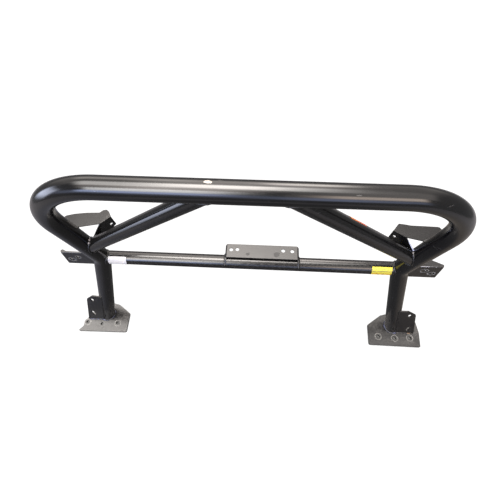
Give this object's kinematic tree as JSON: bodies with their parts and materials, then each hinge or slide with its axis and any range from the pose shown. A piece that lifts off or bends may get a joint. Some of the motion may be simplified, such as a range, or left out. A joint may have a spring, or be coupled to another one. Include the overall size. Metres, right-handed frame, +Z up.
{
  "type": "tubular vehicle sport bar",
  "caption": "Black powder-coated hoop of bent round tube on two bolt-down base plates, with a cross tube, diagonal braces and welded sheet brackets.",
  "frame": {"origin": "on the floor under the middle of the bar's length and depth", "axes": "+X along the bar's length, to the right seen from the front; -Y is the front, where the base plates reach; +Z up"},
  "size_m": [1.6022, 0.2537, 1.0472],
  "materials": {
    "powder_coat": "satin",
    "label_white": "satin",
    "label_yellow": "satin",
    "sticker_orange": "satin"
  },
  "bodies": {
    "root": {"main_hoop": "powder_coat", "cross_tube": "powder_coat", "brace_left": "powder_coat", "base_plate_left": "powder_coat", "lower_tab_left": "powder_coat", "knee_bracket_left": "powder_coat", "wing_bracket_left": "powder_coat", "brace_right": "powder_coat", "base_plate_right": "powder_coat", "lower_tab_right": "powder_coat", "knee_bracket_right": "powder_coat", "wing_bracket_right": "powder_coat", "accessory_bracket": "powder_coat", "label_white": "label_white", "label_yellow": "label_yellow", "sticker_orange": "sticker_orange"}
  },
  "joints": []
}
